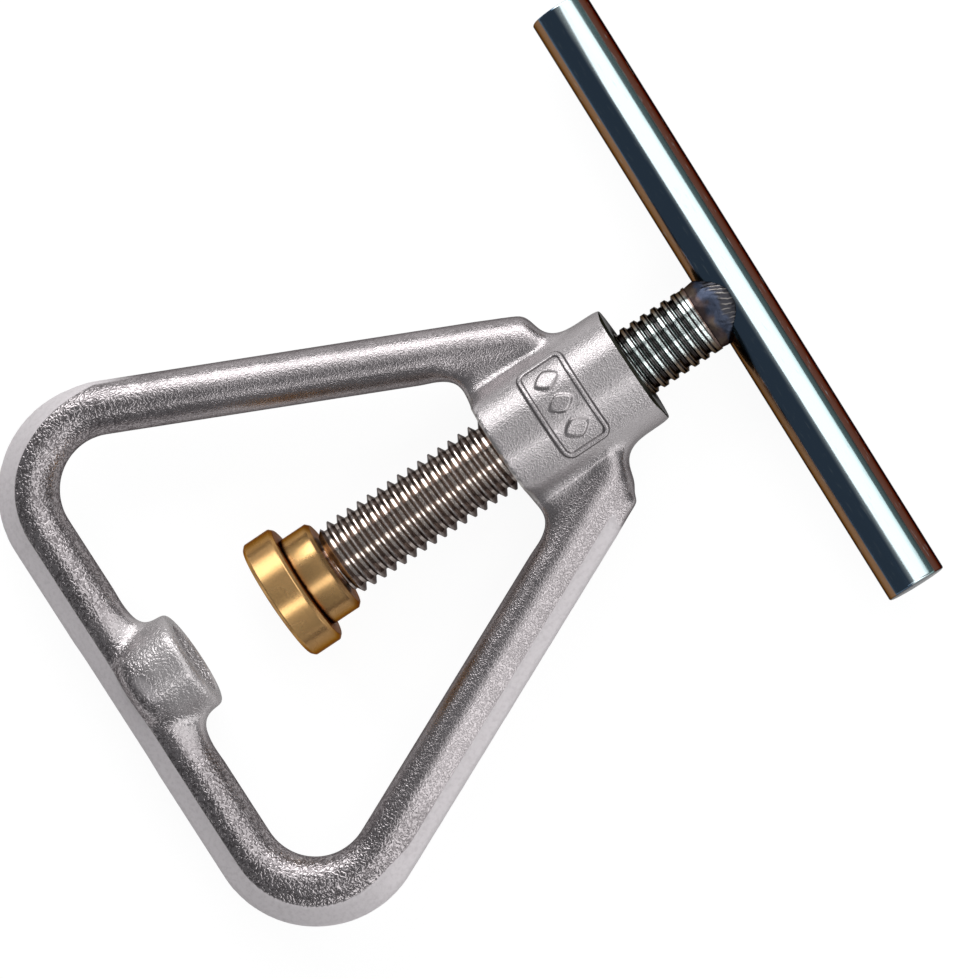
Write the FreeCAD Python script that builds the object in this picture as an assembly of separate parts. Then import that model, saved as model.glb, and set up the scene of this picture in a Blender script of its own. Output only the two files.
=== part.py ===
import FreeCAD, Part
import math
import os
from FreeCAD import Vector

os.makedirs("parts", exist_ok=True)

# A screw press for cracking nuts, lying on its back: +Z up, the screw along X with its handle at +X.
# Everything is laid out from the boss's handle-side face, where the screw axis leaves the frame,
# and is moved at the end so that the origin is the middle of the underside of the whole press.

# Screw thread, 1/2 inch with 13 turns to the inch
inch = 25.4
thread_d = inch / 2
thread_pitch = inch / 13
thread_half_angle = 30.0
crest_flat_share = 1 / 8
root_flat_share = 1 / 4
flat_crest_d = 11.7
flat_crest_length = 15.5
thread_radial_gap = 0.15
thread_flank_gap = 0.12
lead_in_sink = 0.2
cutter_overshoot_share = 0.8

# Screw spindle
thread_out_length = 13.3
thread_in_length = 32.2
shank_d = 11.0
shank_length = 1.5
journal_d = 8.0
journal_length = 7.6
spindle_chamfer = 0.5
weld_root_gap = 0.1

# Handle bar and its weld
handle_d = 10.0
handle_length = 109.0
handle_chamfer = 0.3
handle_lean = 1.6
weld_d = 11.8
weld_toe = 1.1
weld_reach = 4.0
weld_hollow_share = 0.4
weld_crown_share = 0.9

# Pressure foot on the spindle's journal
foot_flange_d = 21.2
foot_flange_length = 5.7
foot_barrel_d = 16.0
foot_barrel_length = 5.4
foot_chamfer = 0.6
foot_running_gap = 0.1
foot_end_gap = 0.3

# Snap ring that keeps the foot on the journal
ring_wire_d = 1.0
ring_gap_angle = 40.0
ring_side_gap = 0.1
ring_from_shoulder = 3.0

# Cast frame
boss_d = 21.0
boss_length = 25.4
boss_round = 0.7
boss_chamfer = 0.4
bore_countersink = 0.5
arm_d = 8.7
arm_half_angle = 25.0
arm_side_offset = 22.0
arm_offset_from_face = 32.4
corner_radius = 13.3
base_from_face = 94.7
shoulder_from_face = 10.0
shoulder_round = 1.3
shoulder_blend = 4.0
crotch_blend = 2.5
crotch_flat_share = 0.2
crotch_mid_share = 0.75
web_thickness = 7.0
web_round = 2.6
largest_round_share = 0.45
base_lip = 1.2
base_lip_face = 3.0
base_lip_slope = 3.0
base_lip_rise = 1.9
arm_lip_rise = 0.5
lip_side_shift = 1.0
lip_end_gap = 1.5

# Anvil cup in the middle of the base
cup_rim_d = 17.4
cup_waist_d = 16.4
cup_height = 9.5
cup_back_d = 9.0
cup_back_depth = 4.6
cup_back_bulge = 1.08
cup_back_mid_share = 0.75
cup_rim_round = 1.3
cup_bore_d = 12.4
cup_bore_depth = 6.0
cup_floor_d = 7.0
cup_floor_depth = 2.0
cup_foot_width = 24.4
cup_foot_blend = 3.6
cup_foot_thickness = 6.0

# Raised border on the front of the boss, with three plain studs in it, and a flat pad on its back
border_length = 15.8
border_width = 8.6
border_corner = 1.6
border_line = 0.8
border_height = 0.4
border_from_face = 12.6
stud_length = 3.2
stud_width = 4.6
stud_step = 4.4
stud_height = 0.25
pad_width = 8.0
pad_length = 14.0

# Travel of the screw from where it is shown, and how far cuts run past the faces they open
travel_gap = 0.4
cut_overrun = 1.0
face_tolerance = 0.01

# Sizes worked out from those above
X = Vector(1, 0, 0)
Y = Vector(0, 1, 0)
Z = Vector(0, 0, 1)
thread_r = thread_d / 2
handle_r = handle_d / 2
arm_r = arm_d / 2
boss_r = boss_d / 2
thread_tan = math.tan(math.radians(thread_half_angle))
crest_half = thread_pitch * crest_flat_share / 2
root_half = thread_pitch * root_flat_share / 2
thread_depth = (thread_pitch / 2 - crest_half - root_half) / thread_tan
thread_root_r = thread_r - thread_depth
thread_bore_r = thread_root_r + thread_radial_gap
lead_in_r = thread_root_r - lead_in_sink
cutter_overshoot = crest_half * cutter_overshoot_share / thread_tan

thread_top_x = thread_out_length
shoulder_x = -boss_length - thread_in_length
handle_x = thread_top_x + shank_length + handle_r
spindle_top_x = handle_x - handle_r - weld_root_gap
foot_top_x = shoulder_x - foot_end_gap
barrel_bottom_x = foot_top_x - foot_barrel_length
foot_face_x = barrel_bottom_x - foot_flange_length
journal_end_x = shoulder_x - journal_length
foot_bore_r = journal_d / 2 + foot_running_gap
foot_bore_end_x = journal_end_x - foot_end_gap
ring_x = shoulder_x - ring_from_shoulder
ring_groove_half = ring_wire_d / 2 + ring_side_gap
ring_mid_r = journal_d / 2 + foot_running_gap / 2
ring_seat_r = ring_mid_r - ring_groove_half
ring_cover_r = ring_mid_r + ring_groove_half

base_x = -base_from_face
arm_slope = math.tan(math.radians(arm_half_angle))
# how far the middle of a quarter arc lies from its two tangents, as a share of its radius
arc_middle_share = 1 - math.sqrt(0.5)
cup_rim_x = base_x + cup_height
rest_z = -foot_flange_d / 2
base_outer_x = base_x - arm_r - base_lip
lip_end_x = -shoulder_from_face - lip_end_gap
lean = math.radians(handle_lean)
handle_end_x = (handle_length / 2 - handle_chamfer) * math.sin(lean) + handle_r * math.cos(lean)
handle_outer_x = handle_x + handle_end_x

advance = thread_out_length - travel_gap
retreat = thread_in_length - foot_end_gap - travel_gap


def rod(radius, x_start, x_end):
    """A round rod on the screw axis."""
    return Part.makeCylinder(radius, x_end - x_start, Vector(x_start, 0, 0), X)


def turned(points):
    """A solid turned about the screw axis from (x, radius) points."""
    outline = Part.makePolygon([Vector(x, r, 0) for x, r in points] + [Vector(points[0][0], points[0][1], 0)])
    return Part.Face(outline).revolve(Vector(0, 0, 0), X, 360)


def helical_sweep(profile, x_start, x_end):
    """Sweep an (x offset, radius) profile along the thread's helix, in step with every other thread here."""
    first_turn = math.floor(x_start / thread_pitch)
    helix = Part.makeLongHelix(thread_pitch, x_end - first_turn * thread_pitch, thread_r, 0)
    corners = [Vector(r, 0, offset) for offset, r in profile]
    sweep = Part.BRepOffsetAPI.MakePipeShell(Part.Wire(helix.Edges))
    sweep.setFrenetMode(True)
    sweep.add(Part.makePolygon(corners + corners[:1]))
    sweep.build()
    sweep.makeSolid()
    solid = sweep.shape()
    solid.rotate(Vector(0, 0, 0), Y, 90)
    solid.translate(Vector(first_turn * thread_pitch, 0, 0))
    return solid


def thread_groove(x_start, x_end):
    """The V groove between the ridges of the screw."""
    outer_r = thread_r + cutter_overshoot
    outer_half = root_half + (outer_r - thread_root_r) * thread_tan
    profile = [
        (-root_half, thread_root_r),
        (-outer_half, outer_r),
        (outer_half, outer_r),
        (root_half, thread_root_r),
    ]
    return helical_sweep(profile, x_start, x_end)


def nut_groove(x_start, x_end):
    """The groove in the boss that the screw's ridges run in, half a pitch from the screw's own groove."""
    along = thread_flank_gap / math.cos(math.radians(thread_half_angle))
    outer_r = thread_r + thread_radial_gap
    inner_r = thread_bore_r - thread_radial_gap
    outer_half = crest_half + along - thread_radial_gap * thread_tan
    inner_half = outer_half + (outer_r - inner_r) * thread_tan
    middle = thread_pitch / 2
    profile = [
        (middle - inner_half, inner_r),
        (middle - outer_half, outer_r),
        (middle + outer_half, outer_r),
        (middle + inner_half, inner_r),
    ]
    return helical_sweep(profile, x_start, x_end)


def make_spindle():
    """Threaded spindle with a grooved journal at one end and a plain shank at the other."""
    flat_r = flat_crest_d / 2
    flat_x = thread_top_x - flat_crest_length
    flat_taper_x = flat_x - (thread_r - flat_r)
    body = turned([
        (journal_end_x, 0),
        (journal_end_x, journal_d / 2 - spindle_chamfer),
        (journal_end_x + spindle_chamfer, journal_d / 2),
        (shoulder_x, journal_d / 2),
        (shoulder_x, lead_in_r),
        (shoulder_x + thread_r - lead_in_r, thread_r),
        (flat_taper_x, thread_r),
        (flat_x, flat_r),
        (thread_top_x, flat_r),
        (thread_top_x, shank_d / 2),
        (spindle_top_x, shank_d / 2),
        (spindle_top_x, 0),
    ])
    ring_groove = rod(journal_d, ring_x - ring_groove_half, ring_x + ring_groove_half)
    ring_groove = ring_groove.cut(rod(ring_seat_r, ring_x - ring_wire_d, ring_x + ring_wire_d))
    groove = thread_groove(shoulder_x - thread_pitch, thread_top_x - thread_pitch / 2)
    return body.cut(ring_groove).cut(groove)


def make_foot():
    """Flanged brass foot with a blind bore for the journal and a groove for the snap ring."""
    flange_r = foot_flange_d / 2
    barrel_r = foot_barrel_d / 2
    foot = turned([
        (foot_face_x, 0),
        (foot_face_x, flange_r - foot_chamfer),
        (foot_face_x + foot_chamfer, flange_r),
        (barrel_bottom_x - foot_chamfer, flange_r),
        (barrel_bottom_x, flange_r - foot_chamfer),
        (barrel_bottom_x, barrel_r),
        (foot_top_x - foot_chamfer, barrel_r),
        (foot_top_x, barrel_r - foot_chamfer),
        (foot_top_x, foot_bore_r),
        (foot_bore_end_x, foot_bore_r),
        (foot_bore_end_x, 0),
    ])
    return foot.cut(rod(ring_cover_r, ring_x - ring_groove_half, ring_x + ring_groove_half))


def make_snap_ring():
    """Open ring of round wire, half in the journal's groove and half in the foot's."""
    wire = Part.makeTorus(ring_mid_r, ring_wire_d / 2, Vector(ring_x, 0, 0), X)
    reach = ring_cover_r * 2
    half = math.radians(ring_gap_angle / 2)
    side = reach * math.tan(half)
    gap = Part.Face(Part.makePolygon([
        Vector(ring_x - ring_wire_d, 0, 0),
        Vector(ring_x - ring_wire_d, -side, reach),
        Vector(ring_x - ring_wire_d, side, reach),
        Vector(ring_x - ring_wire_d, 0, 0),
    ])).extrude(X * (2 * ring_wire_d))
    return wire.cut(gap)


def make_handle_bar():
    """Plain round bar across the top of the spindle, welded on a little out of square."""
    bar = Part.makeCylinder(handle_r, handle_length, Vector(handle_x, -handle_length / 2, 0), Y)
    ends = [edge for edge in bar.Edges if edge.Curve.TypeId == "Part::GeomCircle"]
    bar = bar.makeChamfer(handle_chamfer, ends)
    bar.rotate(Vector(handle_x, 0, 0), Z, -handle_lean)
    return bar


def make_handle_weld(spindle, bar):
    """Weld bead that wraps the joint of spindle and bar, in a saddle round the bar."""
    shank_r = shank_d / 2
    weld_r = weld_d / 2
    toe_x = spindle_top_x - weld_toe
    end_x = spindle_top_x + weld_reach
    crown_x = (toe_x + end_x) / 2
    hollow = Part.Arc(
        Vector(toe_x, shank_r, 0),
        Vector((toe_x + crown_x) / 2, shank_r + weld_hollow_share * (weld_r - shank_r), 0),
        Vector(crown_x, weld_r, 0),
    )
    crown = Part.Arc(
        Vector(crown_x, weld_r, 0),
        Vector((crown_x + end_x) / 2, shank_r + weld_crown_share * (weld_r - shank_r), 0),
        Vector(end_x, shank_r, 0),
    )
    inside = [Vector(end_x, shank_r, 0), Vector(end_x, 0, 0), Vector(toe_x, 0, 0), Vector(toe_x, shank_r, 0)]
    outline = [hollow.toShape(), crown.toShape()]
    for start, end in zip(inside, inside[1:]):
        outline.append(Part.LineSegment(start, end).toShape())
    bead = Part.Face(Part.Wire(outline)).revolve(Vector(0, 0, 0), X, 360)
    return bead.cut(spindle).cut(bar)


def arm_y(x):
    """Distance of an arm's middle line from the screw axis, at x."""
    return arm_side_offset - (x + arm_offset_from_face) * arm_slope


def corner_points(radius, base_at, side_shift):
    """Centre, base end and arm end of a corner arc at +Y, for a side line moved out by side_shift."""
    normal = Vector(math.sin(math.radians(arm_half_angle)), math.cos(math.radians(arm_half_angle)), 0)
    on_line = Vector(base_at, arm_y(base_at), 0) + normal * side_shift
    centre_x = base_at + radius
    # the centre lies one radius inside the side line
    centre_y = (normal.dot(on_line) - radius - normal.x * centre_x) / normal.y
    centre = Vector(centre_x, centre_y, 0)
    return centre, Vector(base_at, centre_y, 0), centre + normal * radius


def loop_edges(radius, base_at, side_shift, arm_end_x):
    """Edges of the frame's rounded outline, from the arm at +Y round the base to the arm at -Y."""
    centre, base_end, arm_end = corner_points(radius, base_at, side_shift)
    shift = side_shift / math.cos(math.radians(arm_half_angle))
    top = Vector(arm_end_x, arm_y(arm_end_x) + shift, 0)
    bend = math.radians(180 - (90 - arm_half_angle) / 2)
    middle = centre + Vector(math.cos(bend), math.sin(bend), 0) * radius

    def other(point):
        return Vector(point.x, -point.y, 0)

    return [
        Part.LineSegment(top, arm_end).toShape(),
        Part.Arc(arm_end, middle, base_end).toShape(),
        Part.LineSegment(base_end, other(base_end)).toShape(),
        Part.Arc(other(base_end), other(middle), other(arm_end)).toShape(),
        Part.LineSegment(other(arm_end), other(top)).toShape(),
    ]


def closed_loop(edges):
    """Close the frame's outline between its two arm ends."""
    ends = [edges[0].firstVertex(True).Point, edges[-1].lastVertex(True).Point]
    return Part.Wire(edges + [Part.LineSegment(ends[1], ends[0]).toShape()])


def make_loop():
    """Round bar of the arms, corners and base, with its two blunt ends beside the boss."""
    path = Part.Wire(loop_edges(corner_radius, base_x, 0, 0))
    start = path.Vertexes[0].Point
    direction = path.Edges[0].tangentAt(path.Edges[0].FirstParameter)
    section = Part.Wire(Part.makeCircle(arm_r, start, direction))
    loop = path.makePipeShell([section], True, False)
    keep = Part.makeBox(base_from_face * 2, base_from_face * 2, arm_d * 2)
    keep.translate(Vector(-shoulder_from_face - base_from_face * 2, -base_from_face, -arm_d))
    loop = loop.common(keep)
    ends = [edge for edge in loop.Edges if abs(edge.BoundBox.XMin + shoulder_from_face) < face_tolerance]
    return loop.makeFillet(shoulder_round, ends)


def make_base_lip():
    """Sloped lip round the outside of the base and arms, cast a little off centre toward -Y."""
    def outline(inset):
        edges = loop_edges(
            corner_radius + arm_r, base_outer_x + inset, arm_r + arm_lip_rise - inset, lip_end_x
        )
        return closed_loop(edges)

    levels = []
    half_face = base_lip_face / 2
    for level, inset in (
        (-half_face - base_lip_rise, base_lip_slope),
        (-half_face, 0),
        (half_face, 0),
        (half_face + base_lip_rise, base_lip_slope),
    ):
        wire = outline(inset)
        wire.translate(Vector(0, -lip_side_shift, level))
        levels.append(wire)
    plate = Part.makeLoft(levels, True, True)
    window = Part.Face(closed_loop(loop_edges(corner_radius, base_x, 0, lip_end_x)))
    window.translate(Z * -arm_d)
    return plate.cut(window.extrude(Z * (2 * arm_d)))


def rounded_plate(edges, thickness):
    """Plate of the given outline about z = 0, rounded above and below along its curved edges."""
    face = Part.Face(Part.Wire(edges))
    face.translate(Z * (-thickness / 2))
    plate = face.extrude(Z * thickness)
    curved = [edge for edge in plate.Edges if edge.Curve.TypeId == "Part::GeomCircle"]
    return plate.makeFillet(min(web_round, largest_round_share * thickness), curved)


def make_web(side):
    """Web between boss and arm: flush under the boss, blended to the blunt end of the arm above."""
    shoulder = -shoulder_from_face
    shoulder_mid = shoulder_blend * arc_middle_share
    low_x = -boss_length + boss_chamfer
    arm_reach = arm_r / math.cos(math.radians(arm_half_angle))
    crotch_y = arm_y(low_x) - arm_reach
    crotch = Vector(low_x - crotch_blend, arm_y(low_x - crotch_blend) - arm_reach, 0)
    points = [
        Vector(shoulder, boss_r + shoulder_blend, 0),
        Vector(shoulder + shoulder_mid, boss_r + shoulder_mid, 0),
        Vector(shoulder + shoulder_blend, boss_r, 0),
        Vector(shoulder + shoulder_blend, boss_r / 2, 0),
        Vector(low_x, boss_r / 2, 0),
        Vector(low_x, boss_r + crotch_flat_share * (crotch_y - boss_r), 0),
        Vector(low_x - crotch_flat_share * crotch_blend, boss_r + crotch_mid_share * (crotch_y - boss_r), 0),
        crotch,
        Vector(crotch.x, arm_y(crotch.x), 0),
    ]
    edges = [
        Part.Arc(points[0], points[1], points[2]).toShape(),
        Part.LineSegment(points[2], points[3]).toShape(),
        Part.LineSegment(points[3], points[4]).toShape(),
        Part.LineSegment(points[4], points[5]).toShape(),
        Part.Arc(points[5], points[6], points[7]).toShape(),
        Part.LineSegment(points[7], points[8]).toShape(),
        Part.LineSegment(points[8], points[0]).toShape(),
    ]
    web = rounded_plate(edges, web_thickness)
    if side < 0:
        web = web.mirror(Vector(0, 0, 0), Y)
    return web


def make_cup():
    """Cup body in the middle of the base, with blends along the base on both sides."""
    rim_r = cup_rim_d / 2
    waist_r = cup_waist_d / 2
    rim_base_x = cup_rim_x - cup_rim_round
    back_x = base_x - cup_back_depth
    back_r = cup_back_d / 2
    round_mid = cup_rim_round * (1 - arc_middle_share)
    outline = [
        Part.LineSegment(Vector(cup_rim_x, 0, 0), Vector(cup_rim_x, rim_r - cup_rim_round, 0)),
        Part.Arc(
            Vector(cup_rim_x, rim_r - cup_rim_round, 0),
            Vector(rim_base_x + round_mid, rim_r - cup_rim_round + round_mid, 0),
            Vector(rim_base_x, rim_r, 0),
        ),
        Part.LineSegment(Vector(rim_base_x, rim_r, 0), Vector(base_x, waist_r, 0)),
        Part.Arc(
            Vector(base_x, waist_r, 0),
            Vector(base_x - cup_back_mid_share * cup_back_depth, cup_back_bulge * (waist_r + back_r) / 2, 0),
            Vector(back_x, back_r, 0),
        ),
        Part.LineSegment(Vector(back_x, back_r, 0), Vector(back_x, 0, 0)),
        Part.LineSegment(Vector(back_x, 0, 0), Vector(cup_rim_x, 0, 0)),
    ]
    return Part.Face(Part.Wire([line.toShape() for line in outline])).revolve(Vector(0, 0, 0), X, 360)


def make_cup_blend():
    """Plate with a concave curve each side of the cup, where it runs out along the base."""
    inner_x = base_x + arm_r
    neck_y = cup_waist_d / 2
    out_y = cup_foot_width / 2
    middle = Vector(
        inner_x + cup_foot_blend * arc_middle_share, neck_y + (out_y - neck_y) * arc_middle_share, 0
    )
    ends = [Vector(inner_x, out_y, 0), middle, Vector(inner_x + cup_foot_blend, neck_y, 0)]
    other = [Vector(point.x, -point.y, 0) for point in ends]
    edges = [
        Part.Arc(ends[0], ends[1], ends[2]).toShape(),
        Part.LineSegment(ends[2], other[2]).toShape(),
        Part.Arc(other[2], other[1], other[0]).toShape(),
        Part.LineSegment(other[0], Vector(base_x, -out_y, 0)).toShape(),
        Part.LineSegment(Vector(base_x, -out_y, 0), Vector(base_x, out_y, 0)).toShape(),
        Part.LineSegment(Vector(base_x, out_y, 0), ends[0]).toShape(),
    ]
    return rounded_plate(edges, cup_foot_thickness)


def make_cup_recess():
    """Straight recess with a coned floor, where the nut sits."""
    bore_r = cup_bore_d / 2
    floor_r = cup_floor_d / 2
    return turned([
        (cup_rim_x + cut_overrun, 0),
        (cup_rim_x + cut_overrun, bore_r),
        (cup_rim_x - cup_bore_depth, bore_r),
        (cup_rim_x - cup_bore_depth - cup_floor_depth, floor_r),
        (cup_rim_x - cup_bore_depth - cup_floor_depth, 0),
    ])


def rounded_prism(length_x, width_y, corner, height):
    """Upright prism with rounded corners about (0, 0), from z = 0."""
    box = Part.makeBox(length_x, width_y, height, Vector(-length_x / 2, -width_y / 2, 0))
    uprights = [edge for edge in box.Edges if edge.BoundBox.ZLength > height / 2]
    return box.makeFillet(corner, uprights)


def make_border():
    """Raised border and studs that follow the round front of the boss."""
    inner_width = border_width - 2 * border_line
    inner_length = border_length - 2 * border_line
    rim = rounded_prism(border_width, border_length, border_corner, boss_r * 2)
    rim = rim.cut(rounded_prism(inner_width, inner_length, border_corner - border_line, boss_r * 2))
    rim.translate(Vector(-border_from_face, 0, 0))
    raised = rim.common(rod(boss_r + border_height, -boss_length, 0))
    for number in (-1, 0, 1):
        corners = [
            Vector(-border_from_face - stud_width / 2, number * stud_step, 0),
            Vector(-border_from_face, number * stud_step - stud_length / 2, 0),
            Vector(-border_from_face + stud_width / 2, number * stud_step, 0),
            Vector(-border_from_face, number * stud_step + stud_length / 2, 0),
        ]
        stud = Part.Face(Part.makePolygon(corners + corners[:1])).extrude(Z * (boss_r * 2))
        raised = raised.fuse(stud.common(rod(boss_r + stud_height, -boss_length, 0)))
    return raised


def make_pad():
    """Flat pad on the back of the boss, level with the edge of the foot."""
    pad = rounded_prism(pad_length, pad_width, border_corner, boss_r)
    pad.translate(Vector(-border_from_face, 0, rest_z))
    return pad


def make_boss():
    """Boss for the screw, with one rounded and one chamfered end."""
    boss = rod(boss_r, -boss_length, 0)
    top = [edge for edge in boss.Edges if abs(edge.BoundBox.XMin) < face_tolerance]
    boss = boss.makeFillet(boss_round, top)
    bottom = [edge for edge in boss.Edges if abs(edge.BoundBox.XMax + boss_length) < face_tolerance]
    return boss.makeChamfer(boss_chamfer, bottom)


def make_screw_bore():
    """Bore, countersinks and thread that are cut through the boss."""
    sink_r = thread_r + thread_radial_gap
    bore = turned([
        (-boss_length - cut_overrun, 0),
        (-boss_length - cut_overrun, sink_r + bore_countersink),
        (-boss_length, sink_r + bore_countersink),
        (-boss_length + bore_countersink + sink_r - thread_bore_r, thread_bore_r),
        (-bore_countersink - sink_r + thread_bore_r, thread_bore_r),
        (0, sink_r + bore_countersink),
        (cut_overrun, sink_r + bore_countersink),
        (cut_overrun, 0),
    ])
    return bore, nut_groove(-boss_length - thread_pitch, thread_pitch)


def make_frame():
    """One casting: boss, arms, base, anvil cup, and the raised border and pad."""
    solid = make_boss()
    for piece in (
        make_loop(), make_web(1), make_web(-1), make_base_lip(), make_cup(), make_cup_blend(),
        make_border(), make_pad(),
    ):
        solid = solid.fuse(piece)
    solid = solid.cut(make_cup_recess())
    bore, groove = make_screw_bore()
    return solid.cut(bore).cut(groove)


def export(name, shape):
    """Check that the piece is one sound solid, move it to the press's own origin and write it."""
    shape = shape.copy()
    if len(shape.Solids) != 1 or not shape.isValid():
        print("check", name, len(shape.Solids), shape.isValid())
    solid = shape.Solids[0]
    solid.translate(Vector(-(base_outer_x + handle_outer_x) / 2, 0, -rest_z))
    solid.exportStep("parts/" + name + ".step")
    print(name, round(solid.Volume), [round(v, 2) for v in (
        solid.BoundBox.XMin, solid.BoundBox.XMax, solid.BoundBox.YMin, solid.BoundBox.YMax,
        solid.BoundBox.ZMin, solid.BoundBox.ZMax)])


spindle = make_spindle()
handle_bar = make_handle_bar()
export("frame", make_frame())
export("spindle", spindle)
export("handle_bar", handle_bar)
export("handle_weld", make_handle_weld(spindle, handle_bar))
export("pressure_foot", make_foot())
export("foot_snap_ring", make_snap_ring())
print("screw travel", round(advance, 2), "in,", round(retreat, 2), "out")
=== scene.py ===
"""The look of a screw press for cracking nuts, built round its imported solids.

Sizes are in millimetres and are laid out as the solids are: along the screw axis from the boss's handle-side face,
across it, and above it. The function at() turns them into places in metres.
"""

import logging
import math
from collections.abc import Callable, Iterator, Sequence
from contextlib import contextmanager
from dataclasses import dataclass
from enum import Enum

import bpy
from mathutils import Matrix, Vector, noise


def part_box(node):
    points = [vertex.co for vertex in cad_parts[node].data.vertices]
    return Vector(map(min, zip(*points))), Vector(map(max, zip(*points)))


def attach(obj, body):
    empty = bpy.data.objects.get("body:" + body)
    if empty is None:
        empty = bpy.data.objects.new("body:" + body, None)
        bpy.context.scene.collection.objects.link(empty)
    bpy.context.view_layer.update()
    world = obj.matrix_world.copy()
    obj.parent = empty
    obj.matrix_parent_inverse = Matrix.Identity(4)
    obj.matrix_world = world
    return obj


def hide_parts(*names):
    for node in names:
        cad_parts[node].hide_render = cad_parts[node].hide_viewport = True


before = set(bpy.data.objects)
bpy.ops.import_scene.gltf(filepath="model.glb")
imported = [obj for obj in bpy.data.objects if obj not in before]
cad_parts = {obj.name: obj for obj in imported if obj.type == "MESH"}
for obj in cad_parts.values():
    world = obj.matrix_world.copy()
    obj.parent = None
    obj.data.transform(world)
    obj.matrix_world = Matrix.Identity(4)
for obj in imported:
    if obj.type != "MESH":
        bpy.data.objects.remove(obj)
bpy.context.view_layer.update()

log = logging.getLogger("screw_press")

MM = 0.001
FACE_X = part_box("frame")[1].x
AXIS_Z = (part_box("pressure_foot")[0].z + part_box("pressure_foot")[1].z) / 2
ALONG = Vector((1, 0, 0))
UP = Vector((0, 0, 1))

Flat = tuple[float, float]
Colour = tuple[float, float, float]
Piece = bpy.types.Object
Socket = bpy.types.NodeSocket


class Body(Enum):
    """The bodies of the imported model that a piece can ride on."""

    FRAME = "frame"
    SCREW = "screw"
    FOOT = "foot"


class Slot(Enum):
    """The record's material slots."""

    CAST = "cast_steel"
    SCREW = "screw_steel"
    BAR = "bar_steel"
    WELD = "weld_steel"
    BRASS = "brass"


def at(x: float, y: float = 0.0, z: float = 0.0) -> Vector:
    """A place in metres.

    Args:
        x: Millimetres along the screw axis, from the boss's handle-side face.
        y: Millimetres across.
        z: Millimetres above the screw axis.

    Returns:
        The place in the model's own frame.
    """
    return Vector((FACE_X + x * MM, y * MM, AXIS_Z + z * MM))


def arc(centre: Flat, radius: float, start: float, end: float, steps: int) -> list[Flat]:
    """Points on an arc.

    Args:
        centre: Its centre.
        radius: Its radius.
        start: The angle of the first point, in degrees.
        end: The angle of the last point, in degrees.
        steps: How many straight pieces it is cut into.

    Returns:
        The points, both ends among them.
    """
    angles = [math.radians(start + (end - start) * i / steps) for i in range(steps + 1)]
    return [(centre[0] + radius * math.cos(a), centre[1] + radius * math.sin(a)) for a in angles]


def measured(place: Vector) -> tuple[float, float, float]:
    """Millimetres along, across and above the screw axis, of a place in metres."""
    return (place.x - FACE_X) / MM, place.y / MM, (place.z - AXIS_Z) / MM


def smooth_step(value: float, low: float, high: float) -> float:
    """How far a value has come from low to high, eased at both ends."""
    share = min(1.0, max(0.0, (value - low) / (high - low)))
    return share * share * (3 - 2 * share)


def within(value: float, rise: Flat, fall: Flat) -> float:
    """How far a value lies past the range of rise and before the range of fall, eased in both."""
    return smooth_step(value, *rise) * (1 - smooth_step(value, *fall))


def select_only(piece: Piece) -> None:
    """Select one piece alone.

    Args:
        piece: The piece, which becomes the active one too.
    """
    bpy.ops.object.select_all(action="DESELECT")
    bpy.context.view_layer.objects.active = piece
    piece.select_set(True)


@contextmanager
def editing(piece: Piece, picked: Callable[[Vector], bool] | None = None) -> Iterator[None]:
    """Open a piece in edit mode.

    Args:
        piece: The piece to edit.
        picked: Says of each vertex's place whether it starts selected. Without it everything is selected.

    Yields:
        Nothing; the piece is back in object mode afterwards.
    """
    select_only(piece)
    for part in (piece.data.polygons, piece.data.edges):
        part.foreach_set("select", [False] * len(part))
    for vertex in piece.data.vertices:
        vertex.select = picked is None or picked(vertex.co)
    bpy.ops.object.mode_set(mode="EDIT")
    bpy.ops.mesh.select_mode(type="VERT")
    if picked is None:
        bpy.ops.mesh.select_all(action="SELECT")
    yield
    bpy.ops.object.mode_set(mode="OBJECT")


def face_out(piece: Piece) -> None:
    """Merge what lies on the same spot and turn every face outwards.

    Args:
        piece: The piece to mend.
    """
    with editing(piece):
        bpy.ops.mesh.remove_doubles(threshold=1e-7)
        bpy.ops.mesh.normals_make_consistent(inside=False)


def extrude(step: Vector) -> None:
    """Extrude what is selected in edit mode by a step in metres."""
    bpy.ops.mesh.extrude_region_move(TRANSFORM_OT_translate={"value": step})


def settle(piece: Piece, name: str) -> Piece:
    """Put a new piece's place into its mesh.

    Args:
        piece: The piece.
        name: Its name.

    Returns:
        The same piece.
    """
    select_only(piece)
    bpy.ops.object.transform_apply(location=True, rotation=True, scale=True)
    piece.name = piece.data.name = name
    return piece


def rod_across(name: str, x: float, radius: float, length: float, lean: float, steps: int) -> Piece:
    """Model a round rod across the screw axis.

    Args:
        name: The name of the new piece.
        x: Where its middle is, along the axis.
        radius: Its radius.
        length: Its length.
        lean: How far it is out of square, in degrees.
        steps: How many faces it has round.

    Returns:
        The rod.
    """
    bpy.ops.object.select_all(action="DESELECT")
    bpy.ops.mesh.primitive_cylinder_add(
        vertices=steps, radius=radius * MM, depth=length * MM, location=at(x),
        rotation=(math.pi / 2, 0, -math.radians(lean)))
    return settle(bpy.context.object, name)


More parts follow.
